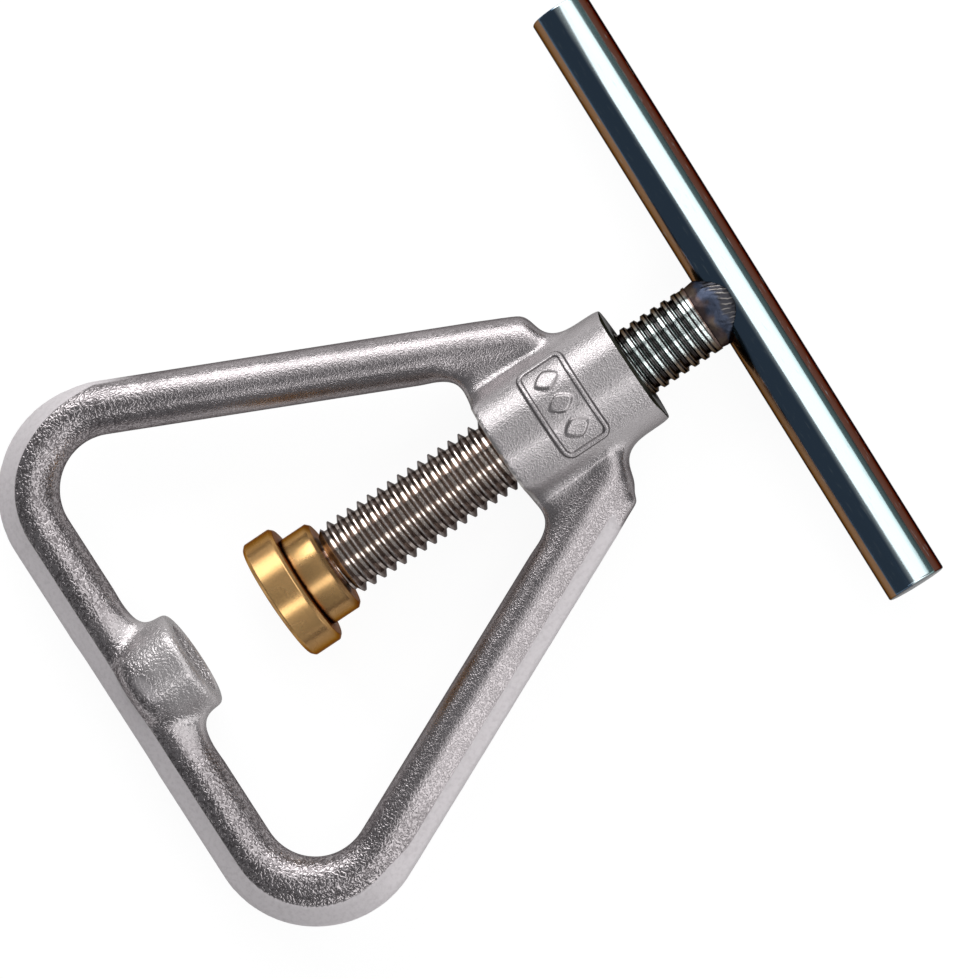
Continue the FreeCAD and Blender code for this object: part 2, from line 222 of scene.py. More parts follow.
def draw_line(name: str, points: Sequence[Vector], closed: bool = False, filled: bool = False) -> Piece:
    """Draw a line by extruding one vertex from each point to the next.

    Args:
        name: The name of the new piece.
        points: The places that the line goes through.
        closed: Whether its last point is joined to its first.
        filled: Whether it gets a face.

    Returns:
        The piece, with its edges and perhaps one face.
    """
    bpy.ops.object.select_all(action="DESELECT")
    bpy.ops.mesh.primitive_plane_add(size=MM, location=points[0])
    piece = settle(bpy.context.object, name)
    with editing(piece):
        bpy.ops.mesh.merge(type="CENTER")
        for start, end in zip(points, points[1:]):
            extrude(end - start)
        if filled:
            bpy.ops.mesh.select_all(action="SELECT")
            bpy.ops.mesh.edge_face_add()
    if closed and not filled:
        ends = (piece.data.vertices[0].co.copy(), piece.data.vertices[-1].co.copy())
        with editing(piece, lambda place: place in ends):
            bpy.ops.mesh.edge_face_add()
    return piece


def lathe(name: str, profile: Sequence[Flat], steps: int = 128) -> Piece:
    """Turn a solid about the screw axis.

    Args:
        name: The name of the new piece.
        profile: Points along and out from the axis, the first and last of them on it, or a closed ring section.
        steps: How many faces it has round.

    Returns:
        The turned piece.
    """
    ring = min(radius for _, radius in profile) > 0
    piece = draw_line(name, [at(x, 0, radius) for x, radius in profile], closed=ring)
    with editing(piece):
        bpy.ops.mesh.spin(steps=steps, angle=math.tau, center=at(0), axis=ALONG)
    face_out(piece)
    return piece


def slab(name: str, outline: Sequence[Flat], low: float, high: float) -> Piece:
    """Extrude a flat outline upwards.

    Args:
        name: The name of the new piece.
        outline: Points along and across.
        low: Where it starts, in millimetres above the screw axis.
        high: Where it ends.

    Returns:
        The slab.
    """
    piece = draw_line(name, [at(x, y, low) for x, y in outline], filled=True)
    with editing(piece):
        extrude(UP * (high - low) * MM)
    face_out(piece)
    return piece


def modify(piece: Piece, kind: str, **settings: object) -> None:
    """Add a modifier and apply it.

    Args:
        piece: The piece that it works on.
        kind: Its type.
        **settings: Its settings.
    """
    select_only(piece)
    modifier = piece.modifiers.new(kind.title(), kind)
    for name, value in settings.items():
        setattr(modifier, name, value)
    bpy.ops.object.modifier_apply(modifier=modifier.name)


def bevel(piece: Piece, width: float) -> None:
    """Round off the sharp edges of a piece, by a width in millimetres."""
    modify(piece, "BEVEL", width=width * MM, segments=3, limit_method="ANGLE", angle_limit=math.radians(60))


def cut(piece: Piece, cutter: Piece) -> None:
    """Take a cutter's shape out of a piece, and delete the cutter."""
    modify(piece, "BOOLEAN", operation="DIFFERENCE", solver="MANIFOLD", object=cutter)
    bpy.data.objects.remove(cutter)


def join(name: str, pieces: Sequence[Piece]) -> Piece:
    """Join pieces into the first of them.

    Args:
        name: The new name.
        pieces: The pieces.

    Returns:
        The first piece, with the others in it.
    """
    select_only(pieces[0])
    for piece in pieces[1:]:
        piece.select_set(True)
    bpy.ops.object.join()
    pieces[0].name = pieces[0].data.name = name
    return pieces[0]


def shade(piece: Piece, angle: float = 35.0) -> None:
    """Shade a piece smooth, except across edges sharper than an angle in degrees."""
    select_only(piece)
    bpy.ops.object.shade_smooth_by_angle(angle=math.radians(angle))


def dress(piece: Piece, materials: Sequence[bpy.types.Material]) -> None:
    """Give a piece its materials.

    Args:
        piece: The piece.
        materials: The materials, the first of them all over.
    """
    piece.data.materials.clear()
    for material in materials:
        piece.data.materials.append(material)
    piece.data.polygons.foreach_set("material_index", [0] * len(piece.data.polygons))


def place_on(piece: Piece, body: Body, stands_for: str) -> None:
    """Let a finished piece ride on its body, in the place of a CAD node.

    Args:
        piece: The piece.
        body: What it rides on.
        stands_for: The CAD node.
    """
    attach(piece, body.value)
    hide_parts(stands_for)
    log.info("%s: %d faces, rides on %s", piece.name, len(piece.data.polygons), body.value)


@dataclass(frozen=True)
class Value:
    """What a node gives, with the usual sums on it."""

    wiring: "Wiring"
    socket: Socket

    def __add__(self, other: "Value | float") -> "Value":
        """This value and another."""
        return self.wiring.math("ADD", self, other)

    def __sub__(self, other: "Value | float") -> "Value":
        """This value less another."""
        return self.wiring.math("SUBTRACT", self, other)

    def __rsub__(self, other: float) -> "Value":
        """A number less this value."""
        return self.wiring.math("SUBTRACT", other, self)

    def __mul__(self, other: "Value | float") -> "Value":
        """This value times another."""
        return self.wiring.math("MULTIPLY", self, other)

    def __truediv__(self, other: "Value | float") -> "Value":
        """This value over another."""
        return self.wiring.math("DIVIDE", self, other)

    def __abs__(self) -> "Value":
        """This value without its sign."""
        return self.wiring.math("ABSOLUTE", self)

    def ramp(self, low: float, high: float, to_low: float = 0.0, to_high: float = 1.0) -> "Value":
        """This value stretched from one range to another, smoothly, and held at its ends.

        Args:
            low: Where the range starts.
            high: Where the range ends.
            to_low: What its start becomes.
            to_high: What its end becomes.

        Returns:
            The stretched value.
        """
        made = self.wiring.node("MapRange", {"interpolation_type": "SMOOTHSTEP"}, Value=self, From_Min=low,
                                From_Max=high, To_Min=to_low, To_Max=to_high)
        return self.wiring.given(made, "Result")

    def tint(self, colour: Colour, share: "Value") -> "Value":
        """This colour, mixed with a share of another."""
        return self.wiring.mix(share, self, colour)


@dataclass(frozen=True)
class Wiring:
    """A node tree and the short steps that fill it."""

    tree: bpy.types.NodeTree

    @property
    def shader(self) -> bpy.types.Node:
        """The material's shader."""
        return self.tree.nodes["Principled BSDF"]

    def node(self, kind: str, settings: dict[str, object] | None = None, **inputs: object) -> bpy.types.Node:
        """Add a node.

        Args:
            kind: Its type, without the words ShaderNode.
            settings: Values of its own properties.
            **inputs: What its inputs get, by name with _ for a space.

        Returns:
            The new node.
        """
        made = self.tree.nodes.new(kind if kind.startswith("NodeGroup") else "ShaderNode" + kind)
        for name, value in (settings or {}).items():
            setattr(made, name, value)
        for name, value in inputs.items():
            self.feed(made.inputs[name.replace("_", " ")], value)
        return made

    def feed(self, socket: Socket, value: object) -> None:
        """Give an input a plain value, or a link.

        Args:
            socket: The input.
            value: A number, a colour, or what another node gives.
        """
        value = value.socket if isinstance(value, Value) else value
        if isinstance(value, bpy.types.NodeSocket):
            self.tree.links.new(value, socket)
        elif isinstance(value, tuple) and socket.type == "RGBA":
            socket.default_value = (*value[:3], 1.0)
        else:
            socket.default_value = value

    def set_shader(self, name: str, value: object) -> None:
        """Feed one of the shader's inputs."""
        self.feed(self.shader.inputs[name], value)

    def given(self, node: bpy.types.Node, output: str | int = 0) -> Value:
        """One of a node's outputs."""
        return Value(self, node.outputs[output])

    def group(self, tree: bpy.types.NodeTree, **inputs: object) -> dict[str, Value]:
        """Place one of the shared groups, and name what it gives."""
        made = self.node("Group", {"node_tree": tree}, **inputs)
        return {output.name: Value(self, output) for output in made.outputs}

    def math(self, operation: str, *values: "Value | float") -> Value:
        """Do a sum.

        Args:
            operation: Its name.
            *values: What it is done on.

        Returns:
            Its result.
        """
        made = self.node("Math", {"operation": operation})
        for socket, value in zip(made.inputs, values):
            self.feed(socket, value)
        return self.given(made)

    def length(self, first: Value, second: Value) -> Value:
        """The distance over two offsets at right angles."""
        return self.math("SQRT", first * first + second * second)

    def mix(self, share: object, first: object, second: object) -> Value:
        """Mix two colours.

        Args:
            share: How much of the second there is.
            first: The first colour.
            second: The second colour.

        Returns:
            The mixed colour.
        """
        made = self.node("Mix", {"data_type": "RGBA"})
        # this node has an input of each name for every kind of data, so the colours' are numbered
        for number, value in ((0, share), (6, first), (7, second)):
            self.feed(made.inputs[number], value)
        return self.given(made, 2)

    def noise(self, place: Value, scale: object, detail: float = 2.0, roughness: float = 0.5) -> Value:
        """Soft noise at a scale in turns per metre."""
        made = self.node("TexNoise", Vector=place, Scale=scale, Detail=detail, Roughness=roughness)
        return self.given(made, "Fac")

    def stretched(self, place: Value, scale: Colour, turn: float = 0.0) -> Value:
        """Coordinates stretched along the model's axes, and turned about its height by degrees."""
        made = self.node("Mapping", Vector=place, Scale=scale, Rotation=(0.0, 0.0, math.radians(turn)))
        return self.given(made, "Vector")

    def joined(self, **parts: Value) -> Value:
        """Coordinates put together from single values."""
        return self.given(self.node("CombineXYZ", **parts), "Vector")

    def place(self) -> Value:
        """The piece's own coordinates."""
        return self.given(self.node("TexCoord"), "Object")

    def mask(self, name: str) -> Value:
        """A mask that was written into the mesh."""
        return self.given(self.node("Attribute", {"attribute_name": name}), "Fac")

    def parts(self, place: Value) -> tuple[Value, Value, Value, Value]:
        """Take coordinates apart.

        Args:
            place: The piece's own coordinates.

        Returns:
            Millimetres along, across and above the screw axis, and the distance from it.
        """
        split = self.node("SeparateXYZ", Vector=place)
        x, y, z = (self.given(split, axis) for axis in "XYZ")
        x, y, z = (x - FACE_X) * (1 / MM), y * (1 / MM), (z - AXIS_Z) * (1 / MM)
        return x, y, z, self.length(y, z)


class Group(Wiring):
    """A node group that gives numbers."""

    @classmethod
    def start(cls, name: str, takes: dict[str, "float | Vector"], gives: Sequence[str]) -> "Group":
        """Start a group.

        Args:
            name: Its name.
            takes: Its inputs, with their usual values.
            gives: The names of its outputs.

        Returns:
            The group, with an input and an output node in it.
        """
        tree = bpy.data.node_groups.new(name, "ShaderNodeTree")
        for label, usual in takes.items():
            kind = "NodeSocketVector" if isinstance(usual, Vector) else "NodeSocketFloat"
            socket = tree.interface.new_socket(name=label, in_out="INPUT", socket_type=kind)
            socket.default_value = usual
        for label in gives:
            tree.interface.new_socket(name=label, in_out="OUTPUT", socket_type="NodeSocketFloat")
        group = cls(tree)
        group.node("NodeGroupInput")
        group.node("NodeGroupOutput")
        return group

    def taken(self, name: str) -> Value:
        """One of the group's own inputs."""
        return self.given(self.tree.nodes["Group Input"], name)

    def give(self, **values: Value) -> bpy.types.NodeTree:
        """Feed the group's outputs.

        Args:
            **values: What each of them gives.

        Returns:
            The finished group.
        """
        for name, value in values.items():
            self.feed(self.tree.nodes["Group Output"].inputs[name], value)
        return self.tree


class Effects:
    """Node groups that several finishes share."""

    def __init__(self) -> None:
        """Build every shared group once."""
        self.grain = self._grain()
        self.wear = self._wear()
        self.tool_lines = self._tool_lines()

    @staticmethod
    def _grain() -> bpy.types.NodeTree:
        """Build blasted grain, at a size in turns per metre.

        Returns:
            The group, which gives its height, the share of deep pits and soft clouds.
        """
        group = Group.start("blasted_grain", {"Scale": 2000.0}, ("Height", "Pits", "Clouds"))
        scale, place = group.taken("Scale"), group.place()
        crinkle = abs(group.noise(place, scale, 1.5, 0.6) - 0.5).ramp(0.0, 0.16)
        height = crinkle * 0.55 + group.noise(place, scale * 1.7, 2.0, 0.6) * 0.75
        clouds = group.noise(place, scale * 0.09, 3.0, 0.55).ramp(0.3, 0.7)
        return group.give(Height=height, Pits=height.ramp(0.62, 0.36), Clouds=clouds)

    @staticmethod
    def _wear() -> bpy.types.NodeTree:
        """Build rubbed edges and dirty hollows, from how sharply the surface bends.

        Returns:
            The group, which gives the share of each.
        """
        group = Group.start("edge_wear", {"Width": 0.06}, ("Edges", "Hollows"))
        ragged = (group.noise(group.place(), 900.0) - 0.5) * 0.05
        bend = group.given(group.node("NewGeometry"), "Pointiness") + ragged - 0.5
        bend = bend / group.taken("Width")
        return group.give(Edges=bend.ramp(0.15, 1.0), Hollows=(bend * -1.0).ramp(0.15, 1.0))

    @staticmethod
    def _tool_lines() -> bpy.types.NodeTree:
        """Build fine lines such as a lathe tool and drawing leave.

        Returns:
            The group, which gives the lines and broader scuffs.
        """
        group = Group.start("tool_lines", {"Place": Vector(), "Scale": 4000.0}, ("Lines", "Scuffs"))
        place, scale = group.taken("Place"), group.taken("Scale")
        scuffs = group.noise(place, scale * 0.08, 4.0, 0.65)
        return group.give(Lines=group.noise(place, scale), Scuffs=scuffs.ramp(0.35, 0.7))


@dataclass(frozen=True)
class Finish:
    """A metal finish: plain values that go straight to the shader's own sockets."""

    name: str
    metallic: float = 1.0
    roughness: float = 0.35
    bump_height: float = 0.00002
    edge_tint: Colour = (0.25, 0.24, 0.24)

    def make(self, effects: Effects) -> bpy.types.Material:
        """Build the material.

        Args:
            effects: The shared node groups.

        Returns:
            The finished material.
        """
        material = bpy.data.materials.new(self.name)
        material.use_nodes = True
        wiring = Wiring(material.node_tree)
        wiring.set_shader("Metallic", self.metallic)
        wiring.set_shader("Roughness", self.roughness)
        wiring.set_shader("Specular Tint", self.edge_tint)
        self.paint(wiring, effects)
        return material

    def paint(self, wiring: Wiring, effects: Effects) -> None:
        """Wire up the colours and the relief. Each finish has its own."""
        raise NotImplementedError

    def raise_by(self, wiring: Wiring, height: Value, strength: float = 1.0) -> None:
        """Feed a height to the shader's normal."""
        bump = wiring.node("Bump", Height=height, Strength=strength, Distance=self.bump_height)
        wiring.set_shader("Normal", wiring.given(bump, "Normal"))


@dataclass(frozen=True)
class CastSteel(Finish):
    """Satin cast steel with blasted grain, dull and paler where the flank was ground smooth."""

    name: str = "cast_steel"
    roughness: float = 0.25
    bump_height: float = 0.00011
    body: Colour = (0.51, 0.473, 0.482)
    shade: Colour = (0.4182, 0.38786, 0.39524)
    pit_and_shade: Colour = (0.09, 0.078, 0.082)
    worn_and_lit: Colour = (0.78, 0.75, 0.75)
    flank: Colour = (0.74, 0.70, 0.715)
    dull: Colour = (0.26, 0.235, 0.25)
    flank_metallic: float = 0.15
    coarse_scale: float = 1250.0
    fine_scale: float = 2100.0
    coarse_x: Flat = (-44.0, -84.0)
    cup_blend: Flat = (-92.5, 11.0)
    cup_x: Flat = (-96.0, -90.0)
    cup_radius: Flat = (14.0, 9.0)
    boss_x: Flat = (-30.0, -26.0)
    boss_radius: Flat = (12.5, 10.9)

    def paint(self, wiring: Wiring, effects: Effects) -> None:
        """Wire up grain, wear and the ground flank.

        Args:
            wiring: The material's wiring.
            effects: The shared node groups.
        """
        place = wiring.place()
        x, y, _, radius = wiring.parts(place)
        coarse = wiring.group(effects.grain, Scale=self.coarse_scale)
        fine = wiring.group(effects.grain, Scale=self.fine_scale)
        wear = wiring.group(effects.wear, Width=0.05)
        flank = wiring.mask("flank").ramp(0.2, 0.8)
        # the base and its corners were blasted coarser than the boss and arms
        rough_end = x.ramp(*self.coarse_x)
        pits = fine["Pits"] + (coarse["Pits"] - fine["Pits"]) * rough_end
        height = fine["Height"] + (coarse["Height"] - fine["Height"]) * rough_end
        # the blends beside the cup are smoother; the cup is finer and duller, and painted paler as painted light
        calm = wiring.length(abs(y) - self.cup_blend[1], x - self.cup_blend[0]).ramp(1.5, 5.0, 0.5, 1.0)
        cup = x.ramp(*self.cup_x) * radius.ramp(*self.cup_radius)
        calm = calm * cup.ramp(0.0, 1.0, 1.0, 0.8)
        pits = pits * rough_end.ramp(0.0, 1.0, 0.4, 0.7) * calm
        depth = rough_end.ramp(0.0, 1.0, 0.3, 0.8) * calm
        body = wiring.mix(coarse["Clouds"], self.body, self.shade)
        # the boss is painted a shade darker, as painted shade
        boss = x.ramp(*self.boss_x) * radius.ramp(*self.boss_radius)
        for colour, share in (
            (self.dull, boss * 0.35), (self.pit_and_shade, pits), (self.pit_and_shade, wear["Hollows"] * 0.5),
            # the cup painted paler is painted light, and the dark steep sides of the relief are painted shade
            (self.worn_and_lit, wear["Edges"] * 0.35), (self.worn_and_lit, cup * 0.45), (self.pit_and_shade, wiring.mask("relief_shade") * 0.75),
        ):
            body = body.tint(colour, share)
        specks = wiring.noise(place, 1500.0, 3.0).ramp(0.4, 0.75, 0.0, 0.35)
        wiring.set_shader("Base Color", wiring.mix(flank, body, wiring.mix(specks, self.flank, self.body)))
        matt = wiring.math("MAXIMUM", flank, cup * 0.5)
        wiring.set_shader("Metallic", matt.ramp(0.0, 1.0, self.metallic, self.flank_metallic))
        rough = height.ramp(0.3, 0.8, self.roughness + 0.08, self.roughness - 0.06)
        wiring.set_shader("Roughness", rough + flank * 0.2)
        self.raise_by(wiring, height * (depth * flank.ramp(0.0, 1.0, 1.0, 0.12)))


@dataclass(frozen=True)
class TurnedSteel(Finish):
    """Bare faced steel with rings from the tool, and painted shade on the boss's handle-side face."""

    name: str = "turned_steel"
    roughness: float = 0.3
    body: Colour = (0.80, 0.77, 0.76)
    dark: Colour = (0.46, 0.44, 0.43)
    face_shade: Colour = (0.055, 0.055, 0.042)
    face_shade_x: Flat = (-1.0, -0.6)

    def paint(self, wiring: Wiring, effects: Effects) -> None:
        """Wire up the rings.

        Args:
            wiring: The material's wiring.
            effects: The shared node groups.
        """
        x, _, _, radius = wiring.parts(wiring.place())
        lines = wiring.group(effects.tool_lines, Place=wiring.joined(X=radius), Scale=6.0)["Lines"]
        body = wiring.mix(lines, self.dark, self.body)
        # the boss's handle-side face is painted nearly black, as painted shade
        wiring.set_shader("Base Color", body.tint(self.face_shade, x.ramp(*self.face_shade_x)))
        self.raise_by(wiring, lines, 0.6)


@dataclass(frozen=True)
class ScrewSteel(Finish):
    """Rolled thread with plated tints above the boss, a heat-tinted plain shank, and painted highlight and shade."""

    name: str = "screw_steel"
    roughness: float = 0.18
    bump_height: float = 0.00003
    crest: Colour = (0.97, 0.90, 0.85)
    side: Colour = (0.48, 0.40, 0.36)
    root: Colour = (0.78, 0.70, 0.64)
    lower_side_shade: Colour = (0.25, 0.21, 0.2)
    upper: Colour = (0.84, 0.95, 0.93)
    upper_side_shade: Colour = (0.20, 0.155, 0.115)
    shank: Colour = (0.20, 0.14, 0.12)
    soot_and_shade: Colour = (0.03, 0.026, 0.026)
    outer_radius: float = 6.35
    pitch: float = 25.4 / 13
    upper_x: Flat = (-9.0, -7.0)
    shank_x: Flat = (12.7, 13.2)
    root_radius: Flat = (5.25, 5.5)
    crest_radius: Flat = (5.95, 6.15)
    seam_phase: float = 0.59

    def paint(self, wiring: Wiring, effects: Effects) -> None:
        """Wire up the thread's crests, sides and roots.

        Args:
            wiring: The material's wiring.
            effects: The shared node groups.
        """
        x, y, z, radius = wiring.parts(wiring.place())
        grain = wiring.group(effects.grain, Scale=1500.0)
        above_boss = x.ramp(*self.upper_x)
        aside = abs(y) / self.outer_radius + grain["Clouds"] * 0.12
        # below the boss, crest and root are painted light and the thread sides dark, as painted highlight and shade
        lower = wiring.mix(radius.ramp(*self.root_radius), self.root, self.side)
        lower = lower.tint(self.crest, radius.ramp(*self.crest_radius))
        # both sides of the screw are painted darker, as painted shade
        lower = lower.tint(self.lower_side_shade, aside.ramp(0.6, 1.0, 0.0, 0.7))
        # above it, each flattened crest is split by a thin seam, bumped in and painted dark as painted shade
        phase = wiring.math("FRACT", x / self.pitch - wiring.math("ARCTAN2", y, z * -1.0) / math.tau)
        seam = abs(phase - self.seam_phase).ramp(0.1, 0.07)
        # both sides of the screw are painted brown, as painted shade
        upper = wiring.mix(aside.ramp(0.5, 0.78), self.upper, self.upper_side_shade)
        # the roots, the seam and the grooves are painted dark, as painted shade
        for share in (radius.ramp(5.45, 5.25), seam, abs(phase - 0.5).ramp(0.41, 0.45)):
            upper = upper.tint(self.soot_and_shade, share)
        body = wiring.mix(above_boss, lower, upper).tint(self.shank, x.ramp(*self.shank_x))
        wiring.set_shader("Base Color", body.tint(self.soot_and_shade, grain["Pits"] * 0.15))
        self.raise_by(wiring, grain["Height"] * 0.3 - seam * above_boss)


@dataclass(frozen=True)
class PlatedSteel(Finish):
    """Drawn bar with bright blue plating, faint cross scratches and painted reflections, brown along both sides."""

    name: str = "plated_steel"
    roughness: float = 0.13
    bump_height: float = 0.000005
    body: Colour = (0.80, 0.94, 0.97)
    scratch: Colour = (0.44, 0.517, 0.5335)
    teal: Colour = (0.30, 0.50, 0.50)
    dark: Colour = (0.10, 0.16, 0.235)
    brown: Colour = (0.27, 0.155, 0.085)
    maroon: Colour = (0.13, 0.055, 0.04)
    rim: Colour = (0.05, 0.035, 0.03)
    middle_x: float = 19.8
    radius: float = 5.0
    lean: float = 1.6
    scratch_turn: float = 35.0

    def paint(self, wiring: Wiring, effects: Effects) -> None:
        """Wire up the painted reflection bands along the bar, and its scratches.

        Args:
            wiring: The material's wiring.
            effects: The shared node groups.
        """
        place = wiring.place()
        x, y, _, _ = wiring.parts(place)
        drawn = wiring.stretched(place, (1.0, 0.02, 1.0))
        lines = wiring.group(effects.tool_lines, Place=drawn, Scale=5000.0)
        scratches = wiring.noise(wiring.stretched(place, (1.0, 0.12, 1.0), self.scratch_turn), 2600.0, 3.0, 0.6)
        # how far to the side of the bar's middle line, as a share of its radius
        side = x - self.middle_x + y * -math.tan(math.radians(self.lean))
        side = side / self.radius + (scratches - 0.5) * 0.05
        # the dark half and the bands along both sides are painted reflections
        body = wiring.mix(side.ramp(0.02, -0.16), self.body, self.dark)
        for colour, share in (
            (self.teal, side.ramp(0.4, 0.66)), (self.maroon, side.ramp(0.64, 0.74)),
            (self.brown, side.ramp(-0.69, -0.74)), (self.rim, abs(side).ramp(0.93, 0.99)),
            (self.scratch, scratches.ramp(0.6, 0.75, 0.0, 0.4)),
        ):
            body = body.tint(colour, share)
        wiring.set_shader("Base Color", body)
        rough = lines["Scuffs"].ramp(0.0, 1.0, self.roughness - 0.03, self.roughness + 0.06)
        wiring.set_shader("Roughness", rough)
        self.raise_by(wiring, lines["Lines"] * 0.4 + scratches, 0.5)


@dataclass(frozen=True)
class WeldSteel(Finish):
    """Weld bead, brown and olive towards the screw and blue where it was hottest."""

    name: str = "weld_steel"
    roughness: float = 0.38
    bump_height: float = 0.00003
    olive: Colour = (0.105, 0.08, 0.066)
    plum: Colour = (0.085, 0.062, 0.062)
    blue: Colour = (0.05, 0.066, 0.105)
    slate: Colour = (0.05, 0.05, 0.058)
    ripple_highlight: Colour = (0.24, 0.225, 0.215)
    waves: float = 40.0
    blue_x: Flat = (14.4, 15.4)
    slate_x: Flat = (16.2, 17.2)
    ripple_x: Flat = (15.6, 17.0)

    def paint(self, wiring: Wiring, effects: Effects) -> None:
        """Wire up the heat tints, and slanting ripples with painted highlights where the bead lies on the bar.

        Args:
            wiring: The material's wiring.
            effects: The shared node groups; not used here.
        """
        place = wiring.place()
        x, y, z, _ = wiring.parts(place)
        drift = wiring.noise(place, 420.0) - 0.5
        along = x + drift * 3.4
        body = wiring.mix(wiring.noise(place, 330.0).ramp(0.42, 0.6), self.olive, self.plum)
        body = body.tint(self.blue, along.ramp(*self.blue_x, 0.0, 0.9))
        body = body.tint(self.slate, along.ramp(*self.slate_x))
        wave = wiring.math("SINE", wiring.math("ARCTAN2", y, z) * self.waves + (x * 3.2 + drift * 9.0))
        on_bar = along.ramp(*self.ripple_x)
        patches = wiring.noise(place, 500.0).ramp(0.4, 0.6)
        # the ripples' crests are painted light, as painted highlight
        wiring.set_shader("Base Color", body.tint(self.ripple_highlight, wave.ramp(0.55, 0.95) * on_bar * patches))
        self.raise_by(wiring, wiring.noise(place, 1600.0, 3.0) + wave * on_bar * 0.8)


@dataclass(frozen=True)
class TurnedBrass(Finish):
    """Brass turned on a lathe, tarnished brown in its corners, and painted brown along its sides as painted shade."""

    name: str = "turned_brass"
    roughness: float = 0.26
    bump_height: float = 0.000008
    edge_tint: Colour = (0.35, 0.2, 0.12)
    body: Colour = (0.93, 0.56, 0.23)
    tarnish_and_shade: Colour = (0.24, 0.14, 0.075)
    corner_dark: Colour = (0.04, 0.024, 0.016)
    end_x: Flat = (-59.2, -58.2)
    step_x: float = -63.3
    barrel_radius: float = 8.0

    def paint(self, wiring: Wiring, effects: Effects) -> None:
        """Wire up the tool's lines, the tarnish and the dirt.

        Args:
            wiring: The material's wiring.
            effects: The shared node groups.
        """
        place = wiring.place()
        x, y, _, radius = wiring.parts(place)
        lines = wiring.group(effects.tool_lines, Place=wiring.joined(X=x, Y=radius), Scale=9.0)["Lines"]
        grain = wiring.group(effects.grain, Scale=1500.0)
        wear = wiring.group(effects.wear, Width=0.08)
        # the step's face is brown, and nearly black in the corner where it meets the barrel
        face = x.ramp(self.step_x - 0.12, self.step_x - 0.04)
        face = face * radius.ramp(self.barrel_radius, self.barrel_radius + 0.3)
        reach = wiring.math("MAXIMUM", x - self.step_x, radius - self.barrel_radius)
        corner = (reach - wiring.noise(place, 1100.0) * 0.4).ramp(0.4, 0.05)
        body = wiring.mix(grain["Clouds"] * 0.18, self.body, self.tarnish_and_shade)
        # the brown along both sides is painted shade
        for share in (
            (abs(y) / radius).ramp(0.62, 0.95, 0.0, 0.6), wear["Hollows"], grain["Pits"] * 0.08,
            x.ramp(*self.end_x) * 0.6, face * 0.8,
        ):
            body = body.tint(self.tarnish_and_shade, share)
        wiring.set_shader("Base Color", body.tint(self.corner_dark, corner))
        rough = grain["Clouds"].ramp(0.0, 1.0, self.roughness - 0.02, self.roughness + 0.03)
        wiring.set_shader("Roughness", rough)
        self.raise_by(wiring, lines + grain["Height"] * 0.4, 0.6)


@dataclass
class SubAssembly:
    """A piece of the press, with what it rides on and the CAD node that it stands for."""

    body: Body
    slot: Slot
    stands_for: str

    def build(self) -> Piece:
        """Model the piece, without its finish."""
        raise NotImplementedError

    def mark_machined(self, piece: Piece) -> None:
        """Give machined faces the second material, on a piece that has one."""

    def install(self, *materials: bpy.types.Material) -> None:
        """Build and dress the piece, and let it ride in the place of its CAD node.

        Args:
            *materials: Its materials, the first of them all over.
        """
        piece = self.build()
        dress(piece, materials)
        self.mark_machined(piece)
        place_on(piece, self.body, self.stands_for)


